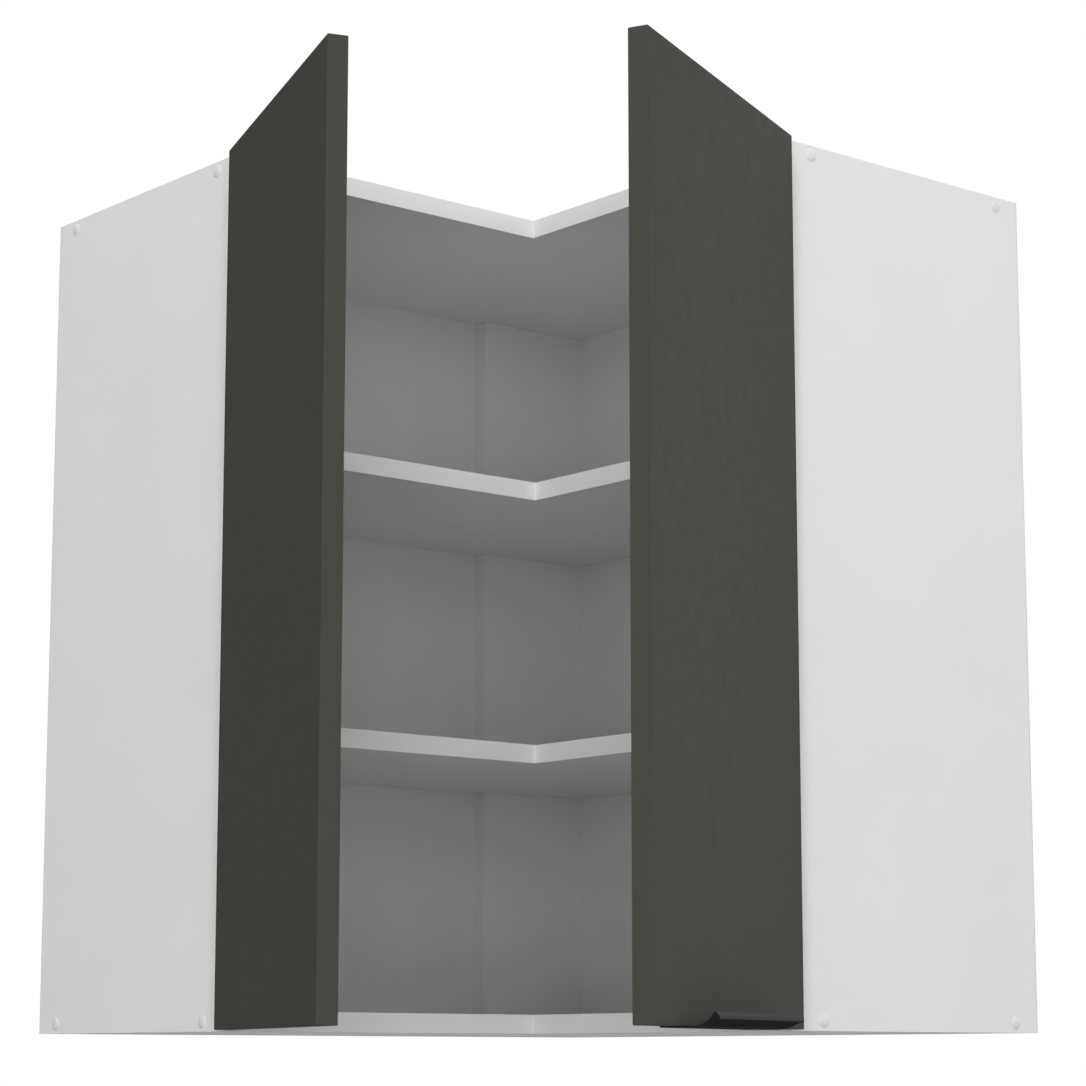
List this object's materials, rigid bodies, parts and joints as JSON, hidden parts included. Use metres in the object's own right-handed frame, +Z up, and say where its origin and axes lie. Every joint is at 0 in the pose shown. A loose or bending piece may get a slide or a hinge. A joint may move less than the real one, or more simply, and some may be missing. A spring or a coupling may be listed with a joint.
{
  "type": "corner wall cabinet",
  "caption": "L-shaped corner wall cabinet: white board body with shelves, dark slab doors on concealed hinges at both fronts, and a slim grip profile under the right door.",
  "frame": {"origin": "room corner where the two wall planes meet, at the level of the cabinet's underside", "axes": "+Z up; the wall planes are x = 0 and y = 0; the body lies at x > 0 and y < 0; +X runs along the y = 0 wall towards the right end, -Y runs along the x = 0 wall towards the left end"},
  "size_m": [0.739, 0.713, 0.7161],
  "materials": {
    "melamine_board": "fine-textured white melamine face on particle board",
    "edge_banding": "white plastic edge band, satin",
    "hardboard": "thin hardboard, white painted inner face",
    "door_lacquer": "matt lacquer, dark olive grey",
    "handle_metal": "black powder-coated aluminium",
    "cap_plastic": "light grey plastic",
    "bumper_rubber": "soft clear-grey felt-like rubber",
    "dowel_wood": "plain beech",
    "support_steel": "nickel-plated steel",
    "hanger_plastic": "white moulded plastic",
    "zinc_screws": "zinc-plated steel",
    "nickel_steel": "nickel-plated steel, satin"
  },
  "bodies": {
    "carcass": {"bottom_edge_band": "edge_banding", "bottom_panel": "melamine_board", "corner_board": "melamine_board", "corner_board_pins": "support_steel", "corner_board_screws": "zinc_screws", "left_back_panel": "hardboard", "left_carcass_screws": "zinc_screws", "left_dowels": "dowel_wood", "left_hanger_hook": "nickel_steel", "left_hanger_screws": "zinc_screws", "left_hinge_arm_screws": "zinc_screws", "left_hinge_arms": "nickel_steel", "left_hinge_pivots": "nickel_steel", "left_hinge_plate_screws": "zinc_screws", "left_hinge_plates": "nickel_steel", "left_screw_caps": "cap_plastic", "left_side_edge_band": "edge_banding", "left_side_panel": "melamine_board", "left_wall_hanger": "hanger_plastic", "lower_shelf": "melamine_board", "lower_shelf_edge_band": "edge_banding", "lower_shelf_supports": "support_steel", "right_back_panel": "hardboard", "right_carcass_screws": "zinc_screws", "right_dowels": "dowel_wood", "right_hanger_hook": "nickel_steel", "right_hanger_screws": "zinc_screws", "right_hinge_arm_screws": "zinc_screws", "right_hinge_arms": "nickel_steel", "right_hinge_pivots": "nickel_steel", "right_hinge_plate_screws": "zinc_screws", "right_hinge_plates": "nickel_steel", "right_screw_caps": "cap_plastic", "right_side_edge_band": "edge_banding", "right_side_panel": "melamine_board", "right_wall_hanger": "hanger_plastic", "top_edge_band": "edge_banding", "top_panel": "melamine_board", "upper_shelf": "melamine_board", "upper_shelf_edge_band": "edge_banding", "upper_shelf_supports": "support_steel"},
    "left_door": {"left_door": "door_lacquer", "left_door_bumpers": "bumper_rubber", "left_hinge_cup_screws": "zinc_screws", "left_hinge_cups": "nickel_steel"},
    "right_door": {"door_handle": "handle_metal", "handle_screws": "zinc_screws", "right_door": "door_lacquer", "right_door_bumpers": "bumper_rubber", "right_hinge_cup_screws": "zinc_screws", "right_hinge_cups": "nickel_steel"},
    "left_hinge_links": {"left_hinge_links": "nickel_steel", "left_hinge_slide_pins": "nickel_steel"},
    "right_hinge_links": {"right_hinge_links": "nickel_steel", "right_hinge_slide_pins": "nickel_steel"}
  },
  "joints": [
    {"name": "left_door_hinge", "type": "hinge", "parent": "carcass", "child": "left_door", "pos_m": [0.2915, -0.59825, 0.358], "axis": [0, 0, 1], "range_deg": [0, 110]},
    {"name": "right_door_hinge", "type": "hinge", "parent": "carcass", "child": "right_door", "pos_m": [0.59825, -0.2915, 0.358], "axis": [0, 0, -1], "range_deg": [0, 114]},
    {"name": "left_link_pivot", "type": "hinge", "parent": "carcass", "child": "left_hinge_links", "pos_m": [0.2964, -0.589, 0.358], "axis": [0, 0, 1], "range_deg": [0, 146.4]},
    {"name": "right_link_pivot", "type": "hinge", "parent": "carcass", "child": "right_hinge_links", "pos_m": [0.589, -0.2964, 0.358], "axis": [0, 0, -1], "range_deg": [0, 151.7]}
  ],
  "couplings": [
    {"joint": "left_link_pivot", "follows": "left_door_hinge", "ratio": 1.33},
    {"joint": "right_link_pivot", "follows": "right_door_hinge", "ratio": 1.33}
  ]
}
